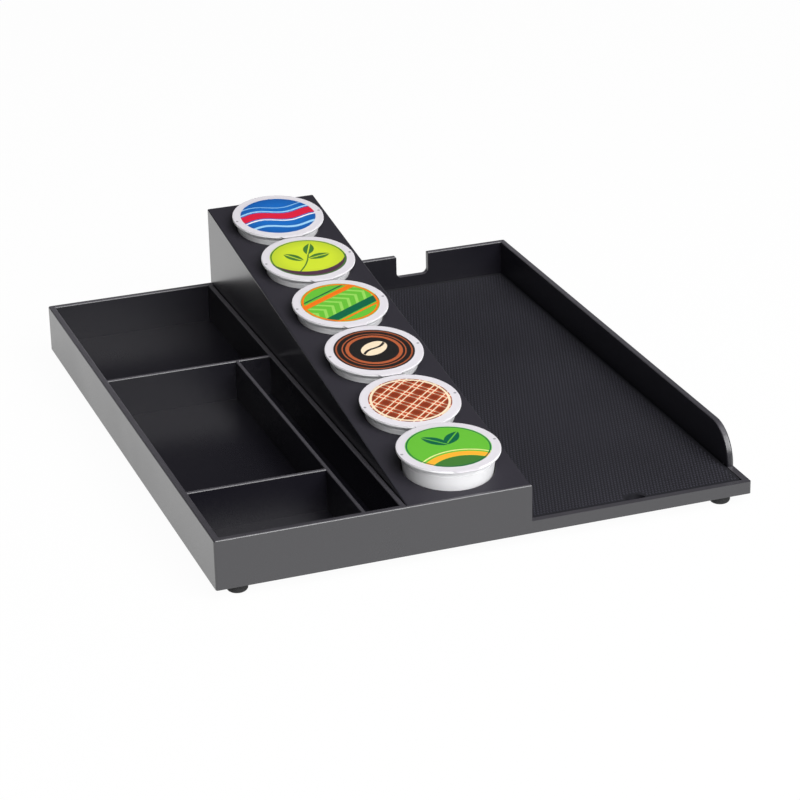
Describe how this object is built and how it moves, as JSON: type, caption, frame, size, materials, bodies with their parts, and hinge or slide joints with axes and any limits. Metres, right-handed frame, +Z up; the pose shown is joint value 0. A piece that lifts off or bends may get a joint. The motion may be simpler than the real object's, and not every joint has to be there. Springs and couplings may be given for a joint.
{
  "type": "coffee station tray",
  "caption": "Shallow black coffee tray with open compartments, a sloped rack of lift-out coffee pods and a matted brewer bay with a cord notch, standing on rubber feet.",
  "frame": {"origin": "on the counter, under the middle of the tray's outline", "axes": "+X to the right (brewer bay side), +Y to the back (high end of the rack), +Z up"},
  "size_m": [0.276, 0.323, 0.0813],
  "materials": {
    "tray_plastic": "satin black moulded plastic, fine spark-eroded grain",
    "rack_plastic": "satin black moulded plastic, fine spark-eroded grain",
    "mat_rubber": "matte black rubber with a fine raised non-slip pattern",
    "foot_rubber": "soft black rubber",
    "screw_steel": "zinc-plated steel",
    "cup_plastic": "white moulded plastic, slightly glossy",
    "filter_paper": "uncoated filter paper",
    "pod_fill": null,
    "lid_blue": "printed foil lid, white border, blue face",
    "lid_lime": "printed foil lid, white border, lime face",
    "lid_orange_green": "printed foil lid, white border, green face, orange ring",
    "lid_black": "printed foil lid, white border, black face, copper band",
    "lid_rust": "printed foil lid, white border, rust brown face",
    "lid_amber_green": "printed foil lid, white border, green face, amber band"
  },
  "bodies": {
    "tray": {"base_tray": "tray_plastic", "pod_rack": "rack_plastic", "rack_screws": "screw_steel", "foot_front_left": "foot_rubber", "foot_front_right": "foot_rubber", "foot_rear_left": "foot_rubber", "foot_rear_right": "foot_rubber"},
    "mat": {"brewer_mat": "mat_rubber"},
    "pod_1": {"pod_1_cup": "cup_plastic", "pod_1_filter": "filter_paper", "pod_1_fill": "pod_fill", "pod_1_lid": "lid_blue"},
    "pod_2": {"pod_2_cup": "cup_plastic", "pod_2_filter": "filter_paper", "pod_2_fill": "pod_fill", "pod_2_lid": "lid_lime"},
    "pod_3": {"pod_3_cup": "cup_plastic", "pod_3_filter": "filter_paper", "pod_3_fill": "pod_fill", "pod_3_lid": "lid_orange_green"},
    "pod_4": {"pod_4_cup": "cup_plastic", "pod_4_filter": "filter_paper", "pod_4_fill": "pod_fill", "pod_4_lid": "lid_black"},
    "pod_5": {"pod_5_cup": "cup_plastic", "pod_5_filter": "filter_paper", "pod_5_fill": "pod_fill", "pod_5_lid": "lid_rust"},
    "pod_6": {"pod_6_cup": "cup_plastic", "pod_6_filter": "filter_paper", "pod_6_fill": "pod_fill", "pod_6_lid": "lid_amber_green"}
  },
  "joints": [
    {"name": "mat_lift", "type": "slide", "parent": "tray", "child": "mat", "axis": [0, 0, 1], "range_m": [0, 0.03]},
    {"name": "pod_1_lift", "type": "slide", "parent": "tray", "child": "pod_1", "axis": [0, -0.1356, 0.9908], "range_m": [0, 0.048]},
    {"name": "pod_2_lift", "type": "slide", "parent": "tray", "child": "pod_2", "axis": [0, -0.1356, 0.9908], "range_m": [0, 0.048]},
    {"name": "pod_3_lift", "type": "slide", "parent": "tray", "child": "pod_3", "axis": [0, -0.1356, 0.9908], "range_m": [0, 0.048]},
    {"name": "pod_4_lift", "type": "slide", "parent": "tray", "child": "pod_4", "axis": [0, -0.1356, 0.9908], "range_m": [0, 0.048]},
    {"name": "pod_5_lift", "type": "slide", "parent": "tray", "child": "pod_5", "axis": [0, -0.1356, 0.9908], "range_m": [0, 0.048]},
    {"name": "pod_6_lift", "type": "slide", "parent": "tray", "child": "pod_6", "axis": [0, -0.1356, 0.9908], "range_m": [0, 0.048]}
  ]
}
